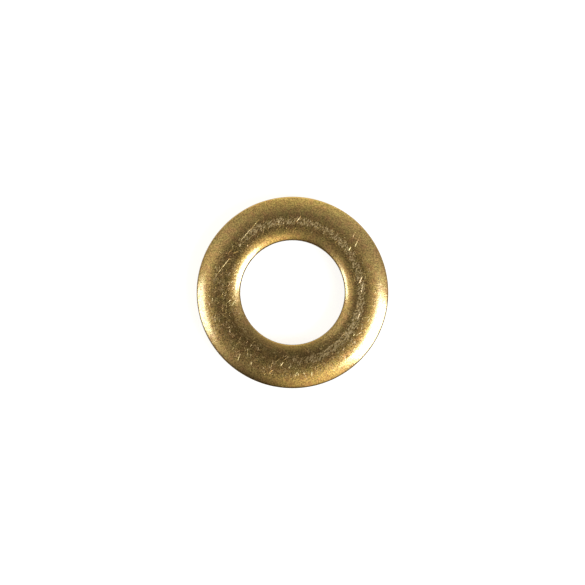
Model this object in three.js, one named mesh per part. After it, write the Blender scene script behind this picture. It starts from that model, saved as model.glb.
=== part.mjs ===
// Flat washer for an M6 bolt, stamped from brass sheet and tumbled.
//
// The washer is one solid: a ring blanked and pierced in one stroke of a
// compound die, so both of its walls are cut from the same side. The die draws
// both edges of the upper face down into a broad roll, burnishes the top of
// each wall, and lets the rest break away at a slight angle. Tumbling then
// rounds every edge.
//
// Millimetres, +Z up. The origin is the centre of the lower face, on the axis
// of the bore.
import * as THREE from "three";

// The ring.
const OUTER_DIAMETER = 11.85;
const BORE_DIAMETER = 6.44;
const THICKNESS = 1.6;

// The rolls: how far in from its wall each one reaches, the radius of its arc,
// and the flat crest that is always left between the two.
const OUTER_ROLL_WIDTH = 1.4;
const OUTER_ROLL_RADIUS = 3.0;
const BORE_ROLL_WIDTH = 0.87;
const BORE_ROLL_RADIUS = 1.9;
const LEAST_CREST_WIDTH = 0.3;

// The walls: a burnished band straight below each roll, then the break, which
// leans back into the metal as it goes down.
const BURNISH_HEIGHT = 0.42;
const BREAK_ANGLE = THREE.MathUtils.degToRad(2.5);

// The tumbled edges, where a roll meets its wall and round the lower face.
const ROLL_EDGE_RADIUS = 0.12;
const LOWER_EDGE_RADIUS = 0.11;

// How finely the round shapes are divided: steps round the ring, and half the
// steps along each round of its section.
const RING_STEPS = 96;
const ROUND_DIVISIONS = 2;

const BRASS = { color: 0xb9944a, metalness: 1.0, roughness: 0.32 };

// A roll is a fillet, so a ring too narrow for both rolls and the crest
// narrows the rolls.
function rollShare() {
  const ringWidth = (OUTER_DIAMETER - BORE_DIAMETER) / 2;
  const rolls = OUTER_ROLL_WIDTH + BORE_ROLL_WIDTH;
  return Math.min(1, (ringWidth - LEAST_CREST_WIDTH) / rolls);
}

// One wall from the lower face up to the crest, as points that give how far
// each is inset from the wall's radius, and its height.
function wall(rollWidth, rollRadius) {
  // The roll's arc meets the round of its edge on the line of their centres.
  const centresApart = rollRadius - ROLL_EDGE_RADIUS;
  const rollAngle = Math.asin((rollWidth - ROLL_EDGE_RADIUS) / centresApart);
  const rollCentre = THICKNESS - rollRadius;
  const shoulder = rollCentre + centresApart * Math.cos(rollAngle);

  const breakTop = shoulder - BURNISH_HEIGHT;
  const breakFoot = LOWER_EDGE_RADIUS * (1 - Math.sin(BREAK_ANGLE));
  const breakInset = (breakTop - breakFoot) * Math.tan(BREAK_ANGLE);
  const lowerInset = breakInset + LOWER_EDGE_RADIUS * Math.cos(BREAK_ANGLE);

  const path = new THREE.Path();
  const [up, level, down] = [0.5 * Math.PI, Math.PI, 1.5 * Math.PI];
  path.absarc(lowerInset, LOWER_EDGE_RADIUS, LOWER_EDGE_RADIUS, down, level + BREAK_ANGLE, true);
  path.lineTo(0, breakTop);
  path.absarc(ROLL_EDGE_RADIUS, shoulder, ROLL_EDGE_RADIUS, level, up + rollAngle, true);
  path.absarc(rollWidth, rollCentre, rollRadius, up + rollAngle, up, true);
  return path.getPoints(ROUND_DIVISIONS);
}

// The section of the ring as a closed outline: up the outer wall, over the
// crest, down the bore's wall and back along the lower face.
function section() {
  const share = rollShare();
  const outer = wall(OUTER_ROLL_WIDTH * share, OUTER_ROLL_RADIUS).map(
    (point) => new THREE.Vector2(OUTER_DIAMETER / 2 - point.x, point.y),
  );
  const bore = wall(BORE_ROLL_WIDTH * share, BORE_ROLL_RADIUS).map(
    (point) => new THREE.Vector2(BORE_DIAMETER / 2 + point.x, point.y),
  );
  return [...outer, ...bore.reverse(), outer[0].clone()];
}

// The section turned about the bore's axis.
function washer() {
  const geometry = new THREE.LatheGeometry(section(), RING_STEPS);
  geometry.rotateX(Math.PI / 2);
  const mesh = new THREE.Mesh(geometry, new THREE.MeshStandardMaterial(BRASS));
  mesh.name = "washer";
  return mesh;
}

const part = new THREE.Group();
part.add(washer());

export default part;
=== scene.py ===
# Flat washer for an M6 bolt: one ring of brass, lying on white paper.
import math

import bpy
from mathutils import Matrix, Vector


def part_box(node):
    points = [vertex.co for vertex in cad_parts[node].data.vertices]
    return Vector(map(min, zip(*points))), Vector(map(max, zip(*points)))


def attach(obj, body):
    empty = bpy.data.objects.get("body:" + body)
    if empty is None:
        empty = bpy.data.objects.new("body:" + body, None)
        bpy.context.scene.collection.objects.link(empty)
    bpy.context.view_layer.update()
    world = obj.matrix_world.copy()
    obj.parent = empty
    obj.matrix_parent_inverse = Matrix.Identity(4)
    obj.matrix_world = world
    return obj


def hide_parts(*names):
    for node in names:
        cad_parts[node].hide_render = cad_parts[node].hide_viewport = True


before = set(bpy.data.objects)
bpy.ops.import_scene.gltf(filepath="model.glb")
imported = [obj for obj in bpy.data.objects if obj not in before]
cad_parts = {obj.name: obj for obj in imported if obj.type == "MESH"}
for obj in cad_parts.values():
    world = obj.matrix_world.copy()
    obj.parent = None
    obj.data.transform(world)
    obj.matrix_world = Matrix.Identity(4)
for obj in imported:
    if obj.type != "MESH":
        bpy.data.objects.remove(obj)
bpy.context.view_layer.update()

MM = 0.001

# ----------------------------------------------------------------------------
# Washer
# A ring of brass sheet, blanked and pierced by one stroke of a compound die,
# which rolls both edges of the upper face over. It is then tumbled with
# thousands of others, which rounds its edges and leaves dents and scratches.
# ----------------------------------------------------------------------------
low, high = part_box("washer")
OUTER_RADIUS = (high.x - low.x) / 2
BORE_RADIUS = min(v.co.xy.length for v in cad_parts["washer"].data.vertices)
THICKNESS = high.z - low.z

# The rolls: how far in from its wall each one reaches, and its radius.
OUTER_ROLL_WIDTH = 1.4 * MM
OUTER_ROLL_RADIUS = 3.0 * MM
BORE_ROLL_WIDTH = 0.87 * MM
BORE_ROLL_RADIUS = 1.9 * MM

# The walls: a burnished band below each roll, then the break, which leans back
# into the metal. A round edge ends each wall above and below.
BURNISH_HEIGHT = 0.42 * MM
BREAK_ANGLE = math.radians(2.5)
ROLL_EDGE_RADIUS = 0.12 * MM
LOWER_EDGE_RADIUS = 0.11 * MM

# How finely the section is divided.
SECTION_STEP = 0.06 * MM
LEAST_ARC_STEPS = 5

# The die's cut reaches halfway into the round edge at either end of a wall.
CUT_REACH = ROLL_EDGE_RADIUS / 2
CUT_FOOT = LOWER_EDGE_RADIUS / 2


def line(start, end):
    """Points from start up to end, which is left to the next stretch."""
    steps = max(1, round((end - start).length / SECTION_STEP))
    return [start.lerp(end, i / steps) for i in range(steps)]


def arc(centre, radius, start, end):
    """Points round centre from one angle up to another, which is left out too."""
    steps = max(LEAST_ARC_STEPS, round(abs(end - start) * radius / SECTION_STEP))
    angles = [start + (end - start) * i / steps for i in range(steps)]
    return [centre + Vector((math.cos(a), math.sin(a))) * radius for a in angles]


def wall(roll_width, roll_radius):
    """One wall from the lower face to the crest: its points as the inset from the
    wall's radius and the height, and the height where the break begins."""
    centres_apart = roll_radius - ROLL_EDGE_RADIUS
    roll_angle = math.asin((roll_width - ROLL_EDGE_RADIUS) / centres_apart)
    roll_centre = Vector((roll_width, THICKNESS - roll_radius))
    shoulder = Vector((0, roll_centre.y + centres_apart * math.cos(roll_angle)))
    break_top = shoulder - Vector((0, BURNISH_HEIGHT))
    break_foot = LOWER_EDGE_RADIUS * (1 - math.sin(BREAK_ANGLE))
    break_inset = (break_top.y - break_foot) * math.tan(BREAK_ANGLE)
    lower_inset = break_inset + LOWER_EDGE_RADIUS * math.cos(BREAK_ANGLE)
    lower_centre = Vector((lower_inset, LOWER_EDGE_RADIUS))
    edge_centre = shoulder + Vector((ROLL_EDGE_RADIUS, 0))
    up, level, down = math.pi / 2, math.pi, math.pi * 3 / 2
    points = [
        *arc(lower_centre, LOWER_EDGE_RADIUS, down, level + BREAK_ANGLE),
        *line(Vector((break_inset, break_foot)), break_top),
        *line(break_top, shoulder),
        *arc(edge_centre, ROLL_EDGE_RADIUS, level, up + roll_angle),
        *arc(roll_centre, roll_radius, up + roll_angle, up),
        Vector((roll_width, THICKNESS)),
    ]
    return points, break_top.y


outer_wall, outer_break_top = wall(OUTER_ROLL_WIDTH, OUTER_ROLL_RADIUS)
bore_wall, bore_break_top = wall(BORE_ROLL_WIDTH, BORE_ROLL_RADIUS)


def section():
    """The ring's section as a closed outline of edges. Its points are marked 1
    in sheared where the die cut them, and 0 on the two faces."""
    outer = [Vector((OUTER_RADIUS - p.x, p.y)) for p in outer_wall]
    bore = [Vector((BORE_RADIUS + p.x, p.y)) for p in reversed(bore_wall)]
    crest = line(outer[-1], bore[0])[1:]
    lower_face = line(bore[-1], outer[0])[1:]
    # Backwards, because that way round the swept faces point outwards.
    outline = [*outer, *crest, *bore, *lower_face][::-1]
    points = [(p.x, 0, p.y) for p in outline]
    edges = [(i, (i + 1) % len(outline)) for i in range(len(outline))]
    mesh = bpy.data.meshes.new("washer")
    mesh.from_pydata(points, edges, [])
    sheared = mesh.attributes.new("sheared", "FLOAT", "POINT")
    for point, mark in zip(outline, sheared.data):
        from_wall = min(OUTER_RADIUS - point.x, point.x - BORE_RADIUS)
        mark.value = float(from_wall < CUT_REACH and point.y > CUT_FOOT)
    return mesh


def add(tree, kind, inputs=None, **settings):
    """A new node with its settings. Inputs are given by name or number, each as
    a value or as the output that feeds it."""
    node = tree.nodes.new(kind)
    for setting, value in settings.items():
        setattr(node, setting, value)
    for socket, value in (inputs or {}).items():
        if isinstance(value, bpy.types.NodeSocket):
            tree.links.new(value, node.inputs[socket])
        else:
            node.inputs[socket].default_value = value
    return node


def new_material(name):
    """A new material and its shader."""
    material = bpy.data.materials.new(name)
    material.use_nodes = True
    return material, material.node_tree.nodes["Principled BSDF"]


def linear(hex_colour):
    """An sRGB colour such as "E7CA8F" as linear red, green, blue and alpha."""
    parts = [int(hex_colour[i:i + 2], 16) / 255 for i in (0, 2, 4)]
    return (*[p / 12.92 if p <= 0.04045 else ((p + 0.055) / 1.055) ** 2.4 for p in parts], 1)


def toward(around, from_overhead=90):
    """The direction at two angles in degrees: round from +X, and down from
    straight overhead."""
    around, from_overhead = math.radians(around), math.radians(from_overhead)
    level = math.sin(from_overhead)
    return Vector((math.cos(around) * level, math.sin(around) * level, math.cos(from_overhead)))


def distance_from_axis(tree, place, axis=(0, 0, 0)):
    """How far a place is from the upright axis through a point."""
    away = add(tree, "ShaderNodeVectorMath", {0: place, 1: axis}, operation="SUBTRACT")
    level = add(
        tree, "ShaderNodeVectorMath", {0: away.outputs[0], 1: (1, 1, 0)}, operation="MULTIPLY",
    )
    length = add(tree, "ShaderNodeVectorMath", {0: level.outputs[0]}, operation="LENGTH")
    return length.outputs["Value"]


def scratch_group():
    """One straight scratch, as a depth from 0 to 1: a rounded groove that fades
    out over the last part of its length at both ends."""
    tree = bpy.data.node_groups.new("scratch", "ShaderNodeTree")
    for name in ("Place", "Middle"):
        tree.interface.new_socket(name, in_out="INPUT", socket_type="NodeSocketVector")
    for name in ("Direction", "Length", "Width"):
        tree.interface.new_socket(name, in_out="INPUT", socket_type="NodeSocketFloat")
    tree.interface.new_socket("Depth", in_out="OUTPUT", socket_type="NodeSocketFloat")
    given = add(tree, "NodeGroupInput").outputs
    away = add(
        tree, "ShaderNodeVectorMath", {0: given["Place"], 1: given["Middle"]}, operation="SUBTRACT",
    )
    back = add(tree, "ShaderNodeMath", {0: given["Direction"], 1: -1}, operation="MULTIPLY")
    turned = add(
        tree, "ShaderNodeVectorRotate",
        {"Vector": away.outputs[0], "Angle": back.outputs[0]}, rotation_type="Z_AXIS",
    )
    apart = add(tree, "ShaderNodeSeparateXYZ", {0: turned.outputs[0]})
    along = add(tree, "ShaderNodeMath", {0: apart.outputs["X"]}, operation="ABSOLUTE")
    across = add(tree, "ShaderNodeMath", {0: apart.outputs["Y"]}, operation="ABSOLUTE")
    way_along = add(
        tree, "ShaderNodeMath", {0: along.outputs[0], 1: given["Length"]}, operation="DIVIDE",
    )
    way_across = add(
        tree, "ShaderNodeMath", {0: across.outputs[0], 1: given["Width"]}, operation="DIVIDE",
    )
    ends = add(
        tree, "ShaderNodeMapRange",
        {
            "Value": way_along.outputs[0], "From Min": 0.35, "From Max": 0.5,
            "To Min": 1, "To Max": 0,
        },
        interpolation_type="SMOOTHSTEP",
    )
    groove = add(
        tree, "ShaderNodeMapRange",
        {"Value": way_across.outputs[0], "From Max": 0.5, "To Min": 1, "To Max": 0},
        interpolation_type="SMOOTHSTEP",
    )
    depth = add(
        tree, "ShaderNodeMath", {0: ends.outputs[0], 1: groove.outputs[0]}, operation="MULTIPLY",
    )
    add(tree, "NodeGroupOutput", {"Depth": depth.outputs[0]})
    return tree


scratch = scratch_group()

# How deep a scratch is for its width. Its sides lean at up to 21 degrees.
DEPTH_BY_WIDTH = 0.13

# The loose scratches, from long and few to short and many. They lie at random,
# one to a cell: how far the cells are moved, so that the three layers differ,
# their spacing, and the length and width of a scratch.
LOOSE_SCRATCHES = [
    ((0, 0, 0), 1.30 * MM, 1.20 * MM, 0.040 * MM),
    ((3 * MM, 0, 0), 0.50 * MM, 0.50 * MM, 0.045 * MM),
    ((0, 5 * MM, 0), 0.22 * MM, 0.26 * MM, 0.040 * MM),
]
# The share of the cells that have no scratch.
EMPTY_CELLS = 0.3
# The share of their depth that they have low on the rolls, where nothing wears.
UNWORN_DEPTH = 0.25

# The scratches that catch the eye: how far out each one's middle is, where it
# lies round the ring and which way it points, in degrees from +X, and its
# length and width.
DEEP_SCRATCHES = [
    (4.59 * MM, 161, 52, 1.75 * MM, 0.045 * MM),
    (4.65 * MM, 124, 49, 2.00 * MM, 0.045 * MM),
    (4.45 * MM, 37, 62, 0.32 * MM, 0.110 * MM),
    (5.10 * MM, 38, 64, 0.85 * MM, 0.060 * MM),
    (5.22 * MM, 43, 58, 0.40 * MM, 0.060 * MM),
    (4.52 * MM, 85, 52, 0.46 * MM, 0.070 * MM),
    (4.42 * MM, 80, 150, 0.34 * MM, 0.070 * MM),
    (4.38 * MM, 101, 80, 0.30 * MM, 0.070 * MM),
    (4.28 * MM, 10, 70, 0.42 * MM, 0.080 * MM),
    (4.30 * MM, 3, 78, 0.60 * MM, 0.060 * MM),
    (4.35 * MM, 341, 72, 0.55 * MM, 0.070 * MM),
    (5.05 * MM, 255, 50, 0.32 * MM, 0.110 * MM),
    (4.45 * MM, 262, 50, 0.32 * MM, 0.080 * MM),
    (3.42 * MM, 308, 40, 0.22 * MM, 0.090 * MM),
]


def scratch_layer(tree, place, start, spacing, length, width):
    """Scratches at random angles, one to a cell of that spacing."""
    moved = add(tree, "ShaderNodeVectorMath", {0: place, 1: start}, operation="ADD")
    cells = add(
        tree, "ShaderNodeTexVoronoi",
        {"Vector": moved.outputs[0], "Scale": 1 / spacing}, voronoi_dimensions="2D",
    )
    chance = add(tree, "ShaderNodeSeparateColor", {0: cells.outputs["Color"]})
    direction = add(
        tree, "ShaderNodeMath", {0: chance.outputs[0], 1: math.pi}, operation="MULTIPLY",
    )
    one = add(
        tree, "ShaderNodeGroup",
        {
            "Place": moved.outputs[0], "Middle": cells.outputs["Position"],
            "Direction": direction.outputs[0], "Length": length, "Width": width,
        },
        node_tree=scratch,
    )
    strength = add(
        tree, "ShaderNodeMapRange",
        {"Value": chance.outputs[1], "From Min": EMPTY_CELLS, "To Min": 0, "To Max": 1},
    )
    return add(
        tree, "ShaderNodeMath", {0: one.outputs[0], 1: strength.outputs[0]}, operation="MULTIPLY",
    ).outputs[0]


def loose_scratches(tree, place, worn):
    """How deep the loose scratches are cut, in metres: all their layers together,
    shallower where there is little wear."""
    depth = 0
    for start, spacing, length, width in LOOSE_SCRATCHES:
        layer = scratch_layer(tree, place, start, spacing, length, width)
        depth = add(
            tree, "ShaderNodeMath", {0: layer, 1: DEPTH_BY_WIDTH * width, 2: depth},
            operation="MULTIPLY_ADD",
        ).outputs[0]
    exposed = add(tree, "ShaderNodeMapRange", {"Value": worn, "To Min": UNWORN_DEPTH})
    return add(
        tree, "ShaderNodeMath", {0: depth, 1: exposed.outputs[0]}, operation="MULTIPLY",
    ).outputs[0]


def with_deep_scratches(tree, place, height):
    """The height with the deep scratches cut into it."""
    for out, around, direction, length, width in DEEP_SCRATCHES:
        groove = add(
            tree, "ShaderNodeGroup",
            {
                "Place": place, "Middle": toward(around) * out,
                "Direction": math.radians(direction), "Length": length, "Width": width,
            },
            node_tree=scratch,
        )
        height = add(
            tree, "ShaderNodeMath",
            {0: groove.outputs[0], 1: -DEPTH_BY_WIDTH * width, 2: height},
            operation="MULTIPLY_ADD",
        ).outputs[0]
    return height


# The scuffed ring lies a little off the washer's centre: its centre and radius,
# how strong it is, how far from its radius it is at full strength, and how far
# away it ends.
SCUFF_CENTRE = (-0.12 * MM, 0.06 * MM, 0)
SCUFF_RADIUS = 4.36 * MM
SCUFF_STRENGTH = 0.36
SCUFF_FULL = 0.08 * MM
SCUFF_END = 0.34 * MM
# It is missing on one side, at this angle from +X in degrees: how far out to
# that side the ring is whole, and from where there is none of it.
UNTOUCHED_SIDE = 205
TOUCHED_TO = 0.5 * MM
UNTOUCHED_FROM = 2.4 * MM
# The ring is made of streaks: the way they run, in degrees from +X, how wide
# they are, and how many times longer than that.
STREAK_DIRECTION = 62
STREAK_WIDTH = 0.08 * MM
STREAK_STRETCH = 2.5


def scuffs(tree, place):
    """How scuffed the crest is, in the ring where it has rubbed on other washers:
    fine streaks, which are missing on the side where the crest never touched."""
    from_centre = distance_from_axis(tree, place, SCUFF_CENTRE)
    off_ring = add(
        tree, "ShaderNodeMath", {0: from_centre, 1: SCUFF_RADIUS}, operation="SUBTRACT",
    )
    off_ring = add(tree, "ShaderNodeMath", {0: off_ring.outputs[0]}, operation="ABSOLUTE")
    ring = add(
        tree, "ShaderNodeMapRange",
        {
            "Value": off_ring.outputs[0], "From Min": SCUFF_FULL, "From Max": SCUFF_END,
            "To Min": SCUFF_STRENGTH, "To Max": 0,
        },
        interpolation_type="SMOOTHSTEP",
    )
    to_side = add(
        tree, "ShaderNodeVectorMath", {0: place, 1: toward(UNTOUCHED_SIDE)},
        operation="DOT_PRODUCT",
    )
    touched = add(
        tree, "ShaderNodeMapRange",
        {
            "Value": to_side.outputs["Value"], "From Min": TOUCHED_TO, "From Max": UNTOUCHED_FROM,
            "To Min": 1, "To Max": 0,
        },
    )
    rubbed = add(
        tree, "ShaderNodeMath", {0: ring.outputs[0], 1: touched.outputs[0]}, operation="MULTIPLY",
    )
    turned = add(
        tree, "ShaderNodeVectorRotate",
        {"Vector": place, "Angle": math.radians(-STREAK_DIRECTION)}, rotation_type="Z_AXIS",
    )
    drawn = add(
        tree, "ShaderNodeVectorMath", {0: turned.outputs[0], 1: (1 / STREAK_STRETCH, 1, 1)},
        operation="MULTIPLY",
    )
    noise = add(
        tree, "ShaderNodeTexNoise",
        {"Vector": drawn.outputs[0], "Scale": 1 / STREAK_WIDTH, "Detail": 2, "Roughness": 0.6},
    )
    streaks = add(
        tree, "ShaderNodeMapRange",
        {"Value": noise.outputs[0], "From Min": 0.44, "From Max": 0.62, "To Max": 2},
    )
    return add(
        tree, "ShaderNodeMath", {0: rubbed.outputs[0], 1: streaks.outputs[0]}, operation="MULTIPLY",
    ).outputs[0]


# The wear reaches this far below the crest in full, and ends at this depth. Its
# plane leans a little, and takes in more of the roll on the near left.
FULL_WEAR_DEPTH = 0.02 * MM
LAST_WEAR_DEPTH = 0.11 * MM
WEAR_PLANE = (-0.005, -0.011, 1)


def wear(tree, place):
    """How worn the brass is: wholly on the crest, and less and less down the
    rolls, which stand lower."""
    lean = add(
        tree, "ShaderNodeVectorMath", {0: place, 1: WEAR_PLANE}, operation="DOT_PRODUCT",
    )
    return add(
        tree, "ShaderNodeMapRange",
        {
            "Value": lean.outputs["Value"],
            "From Min": THICKNESS - LAST_WEAR_DEPTH, "From Max": THICKNESS - FULL_WEAR_DEPTH,
        },
    ).outputs[0]


# Painted shade in brown along the bore, darkening its near side: how strong it is,
# how far out from the bore it is at full strength and where it ends, and the side
# that it is on, as an angle from +X in degrees. Out to that side it begins and is
# whole at these distances.
BORE_SHADE_STRENGTH = 0.60
BORE_SHADE_FULL = 0.8 * MM
BORE_SHADE_END = 1.6 * MM
SHADED_SIDE = 250
SHADED_FROM = 1.2 * MM
SHADED_WHOLLY = 3.6 * MM


def painted_bore_shade(tree, place):
    """How strong the brown painted shade is along the near side of the bore."""
    by_bore = add(
        tree, "ShaderNodeMapRange",
        {
            "Value": distance_from_axis(tree, place), "From Min": BORE_RADIUS + BORE_SHADE_END,
            "From Max": BORE_RADIUS + BORE_SHADE_FULL, "To Max": BORE_SHADE_STRENGTH,
        },
        interpolation_type="SMOOTHSTEP",
    )
    to_side = add(
        tree, "ShaderNodeVectorMath", {0: place, 1: toward(SHADED_SIDE)}, operation="DOT_PRODUCT",
    )
    near_side = add(
        tree, "ShaderNodeMapRange",
        {
            "Value": to_side.outputs["Value"],
            "From Min": SHADED_FROM, "From Max": SHADED_WHOLLY,
        },
        interpolation_type="SMOOTHSTEP",
    )
    return add(
        tree, "ShaderNodeMath", {0: by_bore.outputs[0], 1: near_side.outputs[0]},
        operation="MULTIPLY",
    ).outputs[0]


GOLDEN_BRASS = "E7CA8F"
REDDISH_BRASS = "E5BB8C"
GREENISH_BRASS = "DCCB8B"
SCUFFED_BRASS = "D5C096"
# Tarnish brown: the colour of the pits and of the dirt in the tears, and also of the painted shade
# along the bore.
TARNISH_AND_SHADE = "746041"

# The sizes of the surface's grain, matt patches, soft dents, drifts of colour
# and pits, and the depths of the grain and the dents.
GRAIN_SIZE = 0.09 * MM
PATCH_SIZE = 0.34 * MM
DENT_SIZE = 0.60 * MM
DRIFT_SIZE = 0.50 * MM
PIT_SIZE = 0.075 * MM
GRAIN_DEPTH = 0.0005 * MM
DENT_DEPTH = 0.002 * MM

# What makes the brass matt, beside the grain and the scuffs: the weight of the
# patches, of the wear and of each metre of a scratch's depth. It starts to be
# matt at the first of the two sums, and it is fully matt at the second.
PATCH_WEIGHT = 0.9
WEAR_WEIGHT = 0.31
SCRATCH_WEIGHT = 0.25 / (0.007 * MM)
MATT_FROM = 1.30
WHOLLY_MATT = 1.58

# How dark the pits are on the rolls and on the crest.
ROLL_PITS = 0.76
CREST_PITS = 0.95

BRIGHT_ROUGHNESS = 0.18
MATT_ROUGHNESS = 0.50


def tumbled_brass():
    """Brass, tumbled bright: smooth where it mirrors the room, and scratched in
    all directions. Fine matt flecks break it up and crowd together on the crest,
    most of all in the scuffed ring. Brown tarnish darkens its pits, and brown
    painted shade darkens the near side of the bore's edge."""
    material, shader = new_material("tumbled_brass")
    tree = material.node_tree
    place = add(tree, "ShaderNodeTexCoord").outputs["Object"]
    worn = wear(tree, place)
    cut = loose_scratches(tree, place, worn)

    # Matt flecks: where the fine grain, the patches, the scuffs, the wear and
    # the scratches together pass a threshold.
    grain = add(
        tree, "ShaderNodeTexNoise",
        {"Vector": place, "Scale": 1 / GRAIN_SIZE, "Detail": 2, "Roughness": 0.7},
    )
    patches = add(
        tree, "ShaderNodeTexNoise",
        {"Vector": place, "Scale": 1 / PATCH_SIZE, "Detail": 3, "Roughness": 0.65},
    )
    flecked = add(
        tree, "ShaderNodeMath", {0: patches.outputs[0], 1: PATCH_WEIGHT, 2: grain.outputs[0]},
        operation="MULTIPLY_ADD",
    )
    flecked = add(
        tree, "ShaderNodeMath", {0: flecked.outputs[0], 1: scuffs(tree, place)}, operation="ADD",
    )
    flecked = add(
        tree, "ShaderNodeMath", {0: worn, 1: WEAR_WEIGHT, 2: flecked.outputs[0]},
        operation="MULTIPLY_ADD",
    )
    flecked = add(
        tree, "ShaderNodeMath", {0: cut, 1: SCRATCH_WEIGHT, 2: flecked.outputs[0]},
        operation="MULTIPLY_ADD",
    )
    matt = add(
        tree, "ShaderNodeMapRange",
        {"Value": flecked.outputs[0], "From Min": MATT_FROM, "From Max": WHOLLY_MATT},
    )

    # Relief, in metres: soft dents and the grain, with the scratches cut in.
    dents = add(
        tree, "ShaderNodeTexNoise",
        {"Vector": place, "Scale": 1 / DENT_SIZE, "Detail": 1, "Roughness": 0.5},
    )
    height = add(
        tree, "ShaderNodeMath", {0: dents.outputs[0], 1: DENT_DEPTH}, operation="MULTIPLY",
    )
    height = add(
        tree, "ShaderNodeMath", {0: grain.outputs[0], 1: GRAIN_DEPTH, 2: height.outputs[0]},
        operation="MULTIPLY_ADD",
    )
    height = add(tree, "ShaderNodeMath", {0: height.outputs[0], 1: cut}, operation="SUBTRACT")
    height = with_deep_scratches(tree, place, height.outputs[0])
    bump = add(tree, "ShaderNodeBump", {"Distance": 1, "Height": height})
    tree.links.new(bump.outputs[0], shader.inputs["Normal"])

    # Colour: small drifts between golden, reddish and greenish brass, paler
    # where it is matt, with dark pits that the tumbling didn't reach.
    drift = add(
        tree, "ShaderNodeTexNoise",
        {"Vector": place, "Scale": 1 / DRIFT_SIZE, "Detail": 4, "Roughness": 0.7},
    )
    brass = add(tree, "ShaderNodeValToRGB", {0: drift.outputs[0]})
    stops = brass.color_ramp.elements
    stops[0].position, stops[0].color = 0.36, linear(REDDISH_BRASS)
    stops[1].position, stops[1].color = 0.66, linear(GREENISH_BRASS)
    stops.new(0.5).color = linear(GOLDEN_BRASS)
    colour = add(
        tree, "ShaderNodeMix",
        {0: matt.outputs[0], 6: brass.outputs[0], 7: linear(SCUFFED_BRASS)}, data_type="RGBA",
    )
    specks = add(
        tree, "ShaderNodeTexNoise",
        {"Vector": place, "Scale": 1 / PIT_SIZE, "Detail": 1, "Roughness": 0.6},
    )
    darkest = add(
        tree, "ShaderNodeMapRange", {"Value": worn, "To Min": ROLL_PITS, "To Max": CREST_PITS},
    )
    pits = add(
        tree, "ShaderNodeMapRange",
        {
            "Value": specks.outputs[0], "From Min": 0.66, "From Max": 0.34,
            "To Max": darkest.outputs[0],
        },
    )
    colour = add(
        tree, "ShaderNodeMix",
        {0: pits.outputs[0], 6: colour.outputs[2], 7: linear(TARNISH_AND_SHADE)}, data_type="RGBA",
    )
    # Brown painted shade darkens the near side of the bore.
    colour = add(
        tree, "ShaderNodeMix",
        {0: painted_bore_shade(tree, place), 6: colour.outputs[2], 7: linear(TARNISH_AND_SHADE)}, data_type="RGBA",
    )
    tree.links.new(colour.outputs[2], shader.inputs["Base Color"])
    shader.inputs["Metallic"].default_value = 1

    rough = add(
        tree, "ShaderNodeMapRange",
        {"Value": matt.outputs[0], "To Min": BRIGHT_ROUGHNESS, "To Max": MATT_ROUGHNESS},
    )
    tree.links.new(rough.outputs[0], shader.inputs["Roughness"])
    return material


BURNISHED = "CDAE72"
BROKEN = "BC9E68"

# The border between burnish and break: how long its waves are, how far up and
# down they go, and half the height over which one turns into the other.
BORDER_WAVE = 1.4 * MM
BORDER_SWING = 0.14 * MM
BORDER_BLUR = 0.03 * MM

# The punch's scores and the break's tears: how wide and how deep they are, and
# how many times higher than wide.
SCORE_WIDTH = 0.05 * MM
SCORE_DEPTH = 0.0018 * MM
SCORE_STRETCH = 25
TEAR_WIDTH = 0.08 * MM
TEAR_DEPTH = 0.010 * MM
TEAR_STRETCH = 2

BURNISHED_ROUGHNESS = 0.28
BROKEN_ROUGHNESS = 0.45


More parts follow.
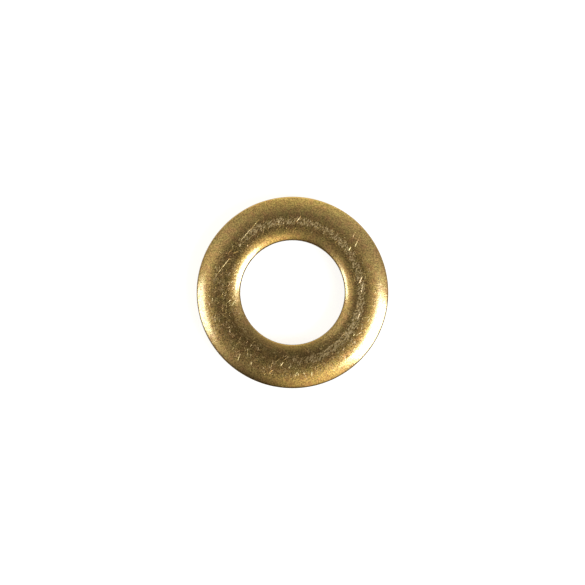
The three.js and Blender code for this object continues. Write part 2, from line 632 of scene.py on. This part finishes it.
def sheared_brass():
    """Brass as the die leaves its walls: a bright burnished band, scored from
    top to bottom by the punch, above a duller, torn break."""
    material, shader = new_material("sheared_brass")
    tree = material.node_tree
    place = add(tree, "ShaderNodeTexCoord").outputs["Object"]

    # The border between the two wanders up and down round the wall, and it is
    # lower on the outer wall than in the bore.
    apart = add(tree, "ShaderNodeSeparateXYZ", {0: place})
    border = add(
        tree, "ShaderNodeMapRange",
        {
            "Value": distance_from_axis(tree, place),
            "From Min": BORE_RADIUS, "From Max": OUTER_RADIUS,
            "To Min": bore_break_top, "To Max": outer_break_top,
        },
    )
    level = add(tree, "ShaderNodeVectorMath", {0: place, 1: (1, 1, 0)}, operation="MULTIPLY")
    waves = add(
        tree, "ShaderNodeTexNoise",
        {"Vector": level.outputs[0], "Scale": 1 / BORDER_WAVE, "Detail": 4, "Roughness": 0.6},
    )
    wander = add(
        tree, "ShaderNodeMapRange",
        {"Value": waves.outputs[0], "To Min": -BORDER_SWING, "To Max": BORDER_SWING},
    )
    border = add(
        tree, "ShaderNodeMath", {0: border.outputs[0], 1: wander.outputs[0]}, operation="ADD",
    )
    above = add(
        tree, "ShaderNodeMath", {0: apart.outputs["Z"], 1: border.outputs[0]},
        operation="SUBTRACT",
    )
    burnished = add(
        tree, "ShaderNodeMapRange",
        {"Value": above.outputs[0], "From Min": -BORDER_BLUR, "From Max": BORDER_BLUR},
    )

    upright = add(
        tree, "ShaderNodeVectorMath", {0: place, 1: (1, 1, 1 / SCORE_STRETCH)},
        operation="MULTIPLY",
    )
    scores = add(
        tree, "ShaderNodeTexNoise",
        {"Vector": upright.outputs[0], "Scale": 1 / SCORE_WIDTH, "Detail": 3, "Roughness": 0.6},
    )
    drawn = add(
        tree, "ShaderNodeVectorMath", {0: place, 1: (1, 1, 1 / TEAR_STRETCH)},
        operation="MULTIPLY",
    )
    tears = add(
        tree, "ShaderNodeTexNoise",
        {"Vector": drawn.outputs[0], "Scale": 1 / TEAR_WIDTH, "Detail": 4, "Roughness": 0.65},
    )

    # The scores are a little duller than the burnish, and dirt fills the tears.
    dulled = add(
        tree, "ShaderNodeMapRange",
        {"Value": scores.outputs[0], "From Min": 0.3, "From Max": 0.7, "To Max": 0.35},
    )
    bright = add(
        tree, "ShaderNodeMix",
        {0: dulled.outputs[0], 6: linear(BURNISHED), 7: linear(BROKEN)}, data_type="RGBA",
    )
    dirt = add(
        tree, "ShaderNodeMapRange",
        {"Value": tears.outputs[0], "From Min": 0.58, "From Max": 0.38, "To Max": 0.45},
    )
    torn = add(
        tree, "ShaderNodeMix",
        {0: dirt.outputs[0], 6: linear(BROKEN), 7: linear(TARNISH_AND_SHADE)}, data_type="RGBA",
    )
    colour = add(
        tree, "ShaderNodeMix",
        {0: burnished.outputs[0], 6: torn.outputs[2], 7: bright.outputs[2]}, data_type="RGBA",
    )
    tree.links.new(colour.outputs[2], shader.inputs["Base Color"])
    shader.inputs["Metallic"].default_value = 1

    rough = add(
        tree, "ShaderNodeMapRange",
        {
            "Value": burnished.outputs[0],
            "To Min": BROKEN_ROUGHNESS, "To Max": BURNISHED_ROUGHNESS,
        },
    )
    tree.links.new(rough.outputs[0], shader.inputs["Roughness"])

    score_depth = add(
        tree, "ShaderNodeMath", {0: scores.outputs[0], 1: SCORE_DEPTH}, operation="MULTIPLY",
    )
    tear_depth = add(
        tree, "ShaderNodeMath", {0: tears.outputs[0], 1: TEAR_DEPTH}, operation="MULTIPLY",
    )
    height = add(
        tree, "ShaderNodeMix",
        {0: burnished.outputs[0], 2: tear_depth.outputs[0], 3: score_depth.outputs[0]},
    )
    bump = add(tree, "ShaderNodeBump", {"Distance": 1, "Height": height.outputs[0]})
    tree.links.new(bump.outputs[0], shader.inputs["Normal"])
    return material


def tumbled_ring():
    """Turns the section round the ring's axis, presses shallow waves and dents
    into it, and gives the faces and the sheared walls their finishes."""
    tree = bpy.data.node_groups.new("tumbled_ring", "GeometryNodeTree")
    sockets = {
        "Section": "Geometry", "Ring steps": "Int", "Seed": "Float",
        "Wave size": "Float", "Wave depth": "Float",
        "Dent spacing": "Float", "Dent width": "Float", "Dent depth": "Float",
        "Face finish": "Material", "Wall finish": "Material",
    }
    for name, kind in sockets.items():
        tree.interface.new_socket(name, in_out="INPUT", socket_type="NodeSocket" + kind)
    tree.interface.new_socket("Ring", in_out="OUTPUT", socket_type="NodeSocketGeometry")
    given = add(tree, "NodeGroupInput").outputs

    # A sweep carries its profile's X and Y on the path's normal and binormal,
    # so the section is stood up and measured from the path's radius.
    path = add(
        tree, "GeometryNodeCurvePrimitiveCircle",
        {"Resolution": given["Ring steps"], "Radius": OUTER_RADIUS},
    )
    outline = add(tree, "GeometryNodeMeshToCurve", {0: given["Section"]})
    profile = add(
        tree, "GeometryNodeTransform",
        {
            0: outline.outputs[0],
            "Translation": (-OUTER_RADIUS, 0, 0), "Rotation": (math.pi / 2, 0, 0),
        },
    )
    swept = add(tree, "GeometryNodeCurveToMesh", {0: path.outputs[0], 1: profile.outputs[0]})

    per_wave = add(tree, "ShaderNodeMath", {0: 1, 1: given["Wave size"]}, operation="DIVIDE")
    waves = add(
        tree, "ShaderNodeTexNoise",
        {"W": given["Seed"], "Scale": per_wave.outputs[0], "Detail": 1}, noise_dimensions="4D",
    )
    wave_fall = add(
        tree, "ShaderNodeMath", {0: waves.outputs[0], 1: given["Wave depth"]}, operation="MULTIPLY",
    )
    per_dent = add(tree, "ShaderNodeMath", {0: 1, 1: given["Dent spacing"]}, operation="DIVIDE")
    dents = add(
        tree, "ShaderNodeTexVoronoi",
        {"W": given["Seed"], "Scale": per_dent.outputs[0]}, voronoi_dimensions="4D",
    )
    away = add(
        tree, "ShaderNodeMath", {0: dents.outputs["Distance"], 1: given["Dent spacing"]},
        operation="MULTIPLY",
    )
    dent_fall = add(
        tree, "ShaderNodeMapRange",
        {
            "Value": away.outputs[0], "From Max": given["Dent width"],
            "To Min": given["Dent depth"], "To Max": 0,
        },
        interpolation_type="SMOOTHSTEP",
    )
    fall = add(
        tree, "ShaderNodeMath", {0: wave_fall.outputs[0], 1: dent_fall.outputs[0]},
        operation="ADD",
    )
    inwards = add(tree, "ShaderNodeMath", {0: fall.outputs[0], 1: -1}, operation="MULTIPLY")
    normal = add(tree, "GeometryNodeInputNormal")
    offset = add(
        tree, "ShaderNodeVectorMath",
        {0: normal.outputs[0], "Scale": inwards.outputs[0]}, operation="SCALE",
    )
    tumbled = add(
        tree, "GeometryNodeSetPosition", {0: swept.outputs[0], "Offset": offset.outputs[0]},
    )

    smooth = add(tree, "GeometryNodeSetShadeSmooth", {0: tumbled.outputs[0]})
    real = add(tree, "GeometryNodeRealizeInstances", {0: smooth.outputs[0]})
    faces = add(
        tree, "GeometryNodeSetMaterial", {0: real.outputs[0], "Material": given["Face finish"]},
    )
    sheared = add(
        tree, "GeometryNodeInputNamedAttribute", {"Name": "sheared"}, data_type="FLOAT",
    )
    is_wall = add(
        tree, "FunctionNodeCompare", {0: sheared.outputs[0], 1: 0.5}, operation="GREATER_THAN",
    )
    walls = add(
        tree, "GeometryNodeSetMaterial",
        {
            0: faces.outputs[0], "Selection": is_wall.outputs[0],
            "Material": given["Wall finish"],
        },
    )
    add(tree, "NodeGroupOutput", {"Ring": walls.outputs[0]})
    return tree


washer = bpy.data.objects.new("brass_washer", section())
bpy.context.scene.collection.objects.link(washer)
turning = washer.modifiers.new("tumbled_ring", "NODES")
turning.node_group = tumbled_ring()
tumbling = {
    "Ring steps": 640,
    "Seed": 7.0,
    "Wave size": 2.4 * MM,
    "Wave depth": 0.016 * MM,
    "Dent spacing": 0.9 * MM,
    "Dent width": 0.30 * MM,
    "Dent depth": 0.006 * MM,
    "Face finish": tumbled_brass(),
    "Wall finish": sheared_brass(),
}
for name, value in tumbling.items():
    turning[turning.node_group.interface.items_tree[name].identifier] = value
bpy.context.view_layer.update()
turned = washer.evaluated_get(bpy.context.evaluated_depsgraph_get())
solid = bpy.data.meshes.new_from_object(turned)
washer.modifiers.remove(turning)
washer.data = solid

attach(washer, "root")
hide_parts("washer")

# ----------------------------------------------------------------------------
# Paper
# A sheet of matt white paper that runs level under the washer and curves up
# far away from it on every side. It glows, so its shadows stay pale.
# ----------------------------------------------------------------------------
LEVEL_RADIUS = 400 * MM
SWEEP_RADIUS = 250 * MM
SWEEP_STEPS = 12
ROUND_STEPS = 96

PAPER_WHITE = "B9B9B9"
GLOW_WHITE = "FFFFFF"
GLOW_STRENGTH = 0.77


def sweep():
    """The paper as rings of points, from its middle out to its upright edge."""
    rise = [math.pi / 2 * i / SWEEP_STEPS for i in range(SWEEP_STEPS + 1)]
    points = [(0, 0, low.z)]
    for angle in rise:
        radius = LEVEL_RADIUS + SWEEP_RADIUS * math.sin(angle)
        height = low.z + SWEEP_RADIUS * (1 - math.cos(angle))
        for i in range(ROUND_STEPS):
            around = 2 * math.pi * i / ROUND_STEPS
            points.append((radius * math.cos(around), radius * math.sin(around), height))
    faces = [(0, 1 + i, 1 + (i + 1) % ROUND_STEPS) for i in range(ROUND_STEPS)]
    for ring in range(SWEEP_STEPS):
        first = 1 + ring * ROUND_STEPS
        above = first + ROUND_STEPS
        for i in range(ROUND_STEPS):
            j = (i + 1) % ROUND_STEPS
            faces.append((first + i, above + i, above + j, first + j))
    mesh = bpy.data.meshes.new("paper")
    mesh.from_pydata(points, [], faces)
    for face in mesh.polygons:
        face.use_smooth = True
    return mesh


def white_paper():
    """Matt white paper with no sheen, lit from behind as on a light table."""
    material, shader = new_material("white_paper")
    shader.inputs["Base Color"].default_value = linear(PAPER_WHITE)
    shader.inputs["Roughness"].default_value = 1
    shader.inputs["Specular IOR Level"].default_value = 0
    shader.inputs["Emission Color"].default_value = linear(GLOW_WHITE)
    shader.inputs["Emission Strength"].default_value = GLOW_STRENGTH
    return material


paper = bpy.data.objects.new("paper", sweep())
bpy.context.scene.collection.objects.link(paper)
paper.data.materials.append(white_paper())
# The washer mirrors the room below instead of the glowing paper.
paper.visible_glossy = False
paper.visible_diffuse = False
paper.visible_shadow = False

# ----------------------------------------------------------------------------
# Light
# Two cool softboxes, a large one before the washer on the right and a smaller
# one on the left, in a warm room that is brightest low down on the far side.
# ----------------------------------------------------------------------------
LIGHT_DISTANCE = 300 * MM
COOL_WHITE = "C8DEFF"
washer_top = Vector((0, 0, high.z))


def softbox(name, around, from_overhead, width, radiance):
    """A square light that faces the washer, at angles in degrees: round from +X,
    and down from straight overhead. Its power gives the radiance asked for."""
    light = bpy.data.lights.new(name, "AREA")
    light.shape = "SQUARE"
    light.size = width
    light.color = linear(COOL_WHITE)[:3]
    light.energy = radiance * math.pi * width ** 2
    lamp = bpy.data.objects.new(name, light)
    away = toward(around, from_overhead)
    lamp.location = washer_top + away * LIGHT_DISTANCE
    lamp.rotation_euler = away.to_track_quat("Z", "Y").to_euler()
    bpy.context.scene.collection.objects.link(lamp)


softbox("key_softbox", 334, 47, 168 * MM, 6.5)
softbox("side_softbox", 190, 51, 118 * MM, 4.2)

# The room's own soft light: round from +X and down from overhead in degrees,
# the radiance there, how narrow the light is, and its colour. Those in amber
# lie by the softboxes, and the rest of the room throws back the others.
WARM_WHITE = "FFF7E6"
AMBER = "FFEDB8"
STRAW = "FFF070"
GLOWS = [
    (86, 122, 1.36, 2.6, WARM_WHITE),
    (88, 72, 0.47, 10, STRAW),
    (334, 46, 1.6, 30, AMBER),
    (328, 27, 0.6, 40, AMBER),
    (0, 51, 0.40, 60, WARM_WHITE),
    (292, 44, 1.2, 36, AMBER),
    (186, 46, 0.9, 25, AMBER),
    (210, 49, 0.42, 70, WARM_WHITE),
    (150, 36, 0.34, 36, WARM_WHITE),
    (45, 45, 0.24, 16, WARM_WHITE),
    (30, 18, 0.06, 60, WARM_WHITE),
    (238, 30, 0.14, 26, WARM_WHITE),
]
# Low down, the walls and the paper give this much light all round.
LOW_RADIANCE = 0.32
# Straight down only this much of the light is left, because the washer stands
# in its way.
SHADE_BELOW = 0.12

world = bpy.data.worlds.new("room")
bpy.context.scene.world = world
world.use_nodes = True
room = world.node_tree
facing = add(room, "ShaderNodeTexCoord").outputs["Generated"]
light = (0, 0, 0)
for around, from_overhead, radiance, narrowness, colour in GLOWS:
    turn = add(
        room, "ShaderNodeVectorMath", {0: facing, 1: toward(around, from_overhead)},
        operation="DOT_PRODUCT",
    )
    share = add(room, "ShaderNodeMapRange", {"Value": turn.outputs["Value"], "From Min": -1})
    falloff = add(room, "ShaderNodeMath", {0: share.outputs[0], 1: narrowness}, operation="POWER")
    brightest = Vector(linear(colour)[:3]) * radiance
    light = add(
        room, "ShaderNodeVectorMath", {0: falloff.outputs[0], 1: brightest, 2: light},
        operation="MULTIPLY_ADD",
    ).outputs[0]
upward = add(room, "ShaderNodeSeparateXYZ", {0: facing}).outputs["Z"]
low_light = add(
    room, "ShaderNodeMapRange",
    {"Value": upward, "From Min": 0.08, "From Max": -0.12, "To Max": LOW_RADIANCE},
    interpolation_type="SMOOTHSTEP",
)
light = add(
    room, "ShaderNodeVectorMath",
    {0: low_light.outputs[0], 1: linear(WARM_WHITE)[:3], 2: light}, operation="MULTIPLY_ADD",
)
shade = add(
    room, "ShaderNodeMapRange",
    {"Value": upward, "From Min": -0.75, "From Max": -0.2, "To Min": SHADE_BELOW},
    interpolation_type="SMOOTHSTEP",
)
light = add(
    room, "ShaderNodeVectorMath", {0: light.outputs[0], "Scale": shade.outputs[0]},
    operation="SCALE",
)
room.links.new(light.outputs[0], room.nodes["Background"].inputs["Color"])

# ----------------------------------------------------------------------------
# Camera
# Straight above the washer, with a long lens.
# ----------------------------------------------------------------------------
LENS = 150
SENSOR = 36
NEAREST_IN_VIEW = 10 * MM
WASHER_SHARE = 0.328  # how much of the view's width the washer fills

camera = bpy.data.objects.new("camera", bpy.data.cameras.new("camera"))
camera.data.lens = LENS
camera.data.sensor_width = SENSOR
camera.data.clip_start = NEAREST_IN_VIEW
# The view is that wide at the washer's shoulders, where it is widest itself.
shoulder = outer_break_top + BURNISH_HEIGHT
view_width = 2 * OUTER_RADIUS / WASHER_SHARE
camera.location = (0, 0, shoulder + view_width * LENS / SENSOR)
bpy.context.scene.collection.objects.link(camera)
bpy.context.scene.camera = camera
bpy.context.scene.view_settings.view_transform = "Standard"
